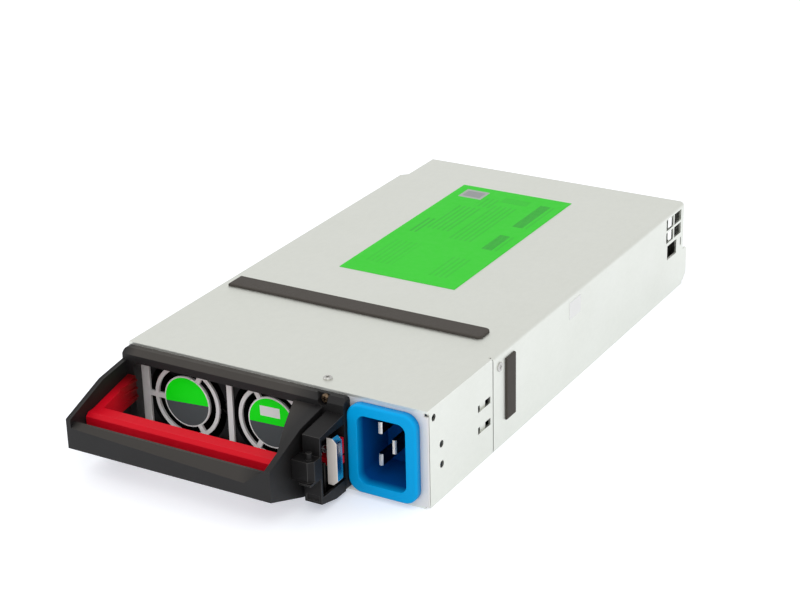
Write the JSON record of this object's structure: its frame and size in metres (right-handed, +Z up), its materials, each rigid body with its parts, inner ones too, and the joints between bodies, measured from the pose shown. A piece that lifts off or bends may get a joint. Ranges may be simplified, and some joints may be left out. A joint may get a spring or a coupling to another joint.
{
  "type": "hot swap server power supply",
  "caption": "Slide-in AC server power supply with a fixed bow handle, squeeze-bar release lever and side latch, fans behind stamped guards, a recessed AC inlet and a rear blade connector.",
  "frame": {"origin": "centre of the case's flat underside, handle and rear connector left out of the length", "axes": "+X to the right across the front, +Y from the front back into the case, +Z up"},
  "size_m": [0.142, 0.3003, 0.0437],
  "materials": {
    "zinc_sheet": "zinc-plated steel sheet, satin",
    "black_moulding": "fine matt texture",
    "red_moulding": "smooth satin",
    "bright_steel": "bright nickel plating",
    "spring_steel": "drawn wire",
    "brassy_zinc": "yellow chromated",
    "fan_black": "glass-filled nylon",
    "inlet_blue": "smooth satin",
    "pin_nickel": "nickel-plated brass",
    "gasket_foam": "conductive cloth over foam",
    "label_green": "printed film, satin",
    "label_white": "plain film",
    "board_green": "glass epoxy with solder mask",
    "ferrite": "ground ferrite",
    "copper_winding": "enamelled copper",
    "can_sleeve": "shrink sleeve",
    "heat_sink": "extruded",
    "insulating_film": "thin film"
  },
  "bodies": {
    "case": {"base_tray": "zinc_sheet", "front_panel": "zinc_sheet", "top_cover": "zinc_sheet", "rear_panel": "zinc_sheet", "bezel_handle": "black_moulding", "latch_housing": "black_moulding", "lever_spring": "spring_steel", "bezel_screw": "brassy_zinc", "fan_screws": "brassy_zinc", "fan_frame_left": "fan_black", "fan_frame_right": "fan_black", "fan_stator_left": "copper_winding", "fan_stator_right": "copper_winding", "fan_sticker_left": "label_green", "fan_sticker_right": "label_green", "inlet_body": "inlet_blue", "power_pins": "pin_nickel", "earth_pin": "pin_nickel", "top_gasket": "gasket_foam", "side_gasket": "gasket_foam", "rating_label": "label_green", "side_label": "label_white", "cover_screw": "brassy_zinc", "side_rivet": "bright_steel", "main_board": "board_green", "board_standoffs": "brassy_zinc", "insulator_sheet": "insulating_film", "filter_board": "board_green", "transformer_core": "ferrite", "transformer_winding": "copper_winding", "bulk_capacitors": "can_sleeve", "power_factor_choke": "copper_winding", "filter_choke": "copper_winding", "primary_heat_sink": "heat_sink", "secondary_heat_sink": "heat_sink", "output_connector": "black_moulding", "output_contacts": "pin_nickel"},
    "lever": {"release_lever": "red_moulding", "drive_pin": "bright_steel"},
    "latch": {"latch_slide": "red_moulding", "latch_face": "bright_steel"},
    "rotor_left": {"fan_rotor_left": "fan_black"},
    "rotor_right": {"fan_rotor_right": "fan_black"}
  },
  "joints": [
    {"name": "lever_squeeze", "type": "slide", "parent": "case", "child": "lever", "axis": [0, -1, 0], "range_m": [0, 0.004], "stiffness_N_per_m": 1200, "springref_m": -0.002, "deforming": ["lever_spring"]},
    {"name": "latch_withdraw", "type": "slide", "parent": "case", "child": "latch", "axis": [-1, 0, 0], "range_m": [0, 0.002]},
    {"name": "left_fan_spin", "type": "hinge", "parent": "case", "child": "rotor_left", "pos_m": [-0.0427, -0.1236, 0.021], "axis": [0, 1, 0], "continuous": true},
    {"name": "right_fan_spin", "type": "hinge", "parent": "case", "child": "rotor_right", "pos_m": [-0.0012, -0.1236, 0.021], "axis": [0, 1, 0], "continuous": true}
  ],
  "couplings": [
    {"joint": "latch_withdraw", "follows": "lever_squeeze", "ratio": 0.5}
  ]
}
